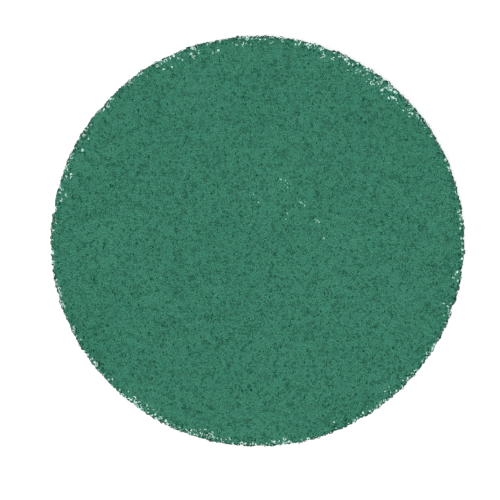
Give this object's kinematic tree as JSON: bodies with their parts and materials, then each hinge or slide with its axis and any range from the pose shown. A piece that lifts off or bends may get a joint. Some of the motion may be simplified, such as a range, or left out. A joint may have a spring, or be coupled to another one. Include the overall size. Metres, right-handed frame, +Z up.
{
  "type": "floor polishing pad",
  "caption": "Round thick pad of green nonwoven web for a floor machine, die cut, with a ragged fibrous rim and an open pitted face.",
  "frame": {"origin": "middle of the lower face, the one that works the floor", "axes": "+Z up through the pad's thickness, along the spindle of the machine that turns it; +X and +Y lie in the faces"},
  "size_m": [0.4333, 0.4302, 0.025],
  "materials": {
    "bonded_web": "matte"
  },
  "bodies": {
    "root": {"pad": "bonded_web"}
  },
  "joints": []
}
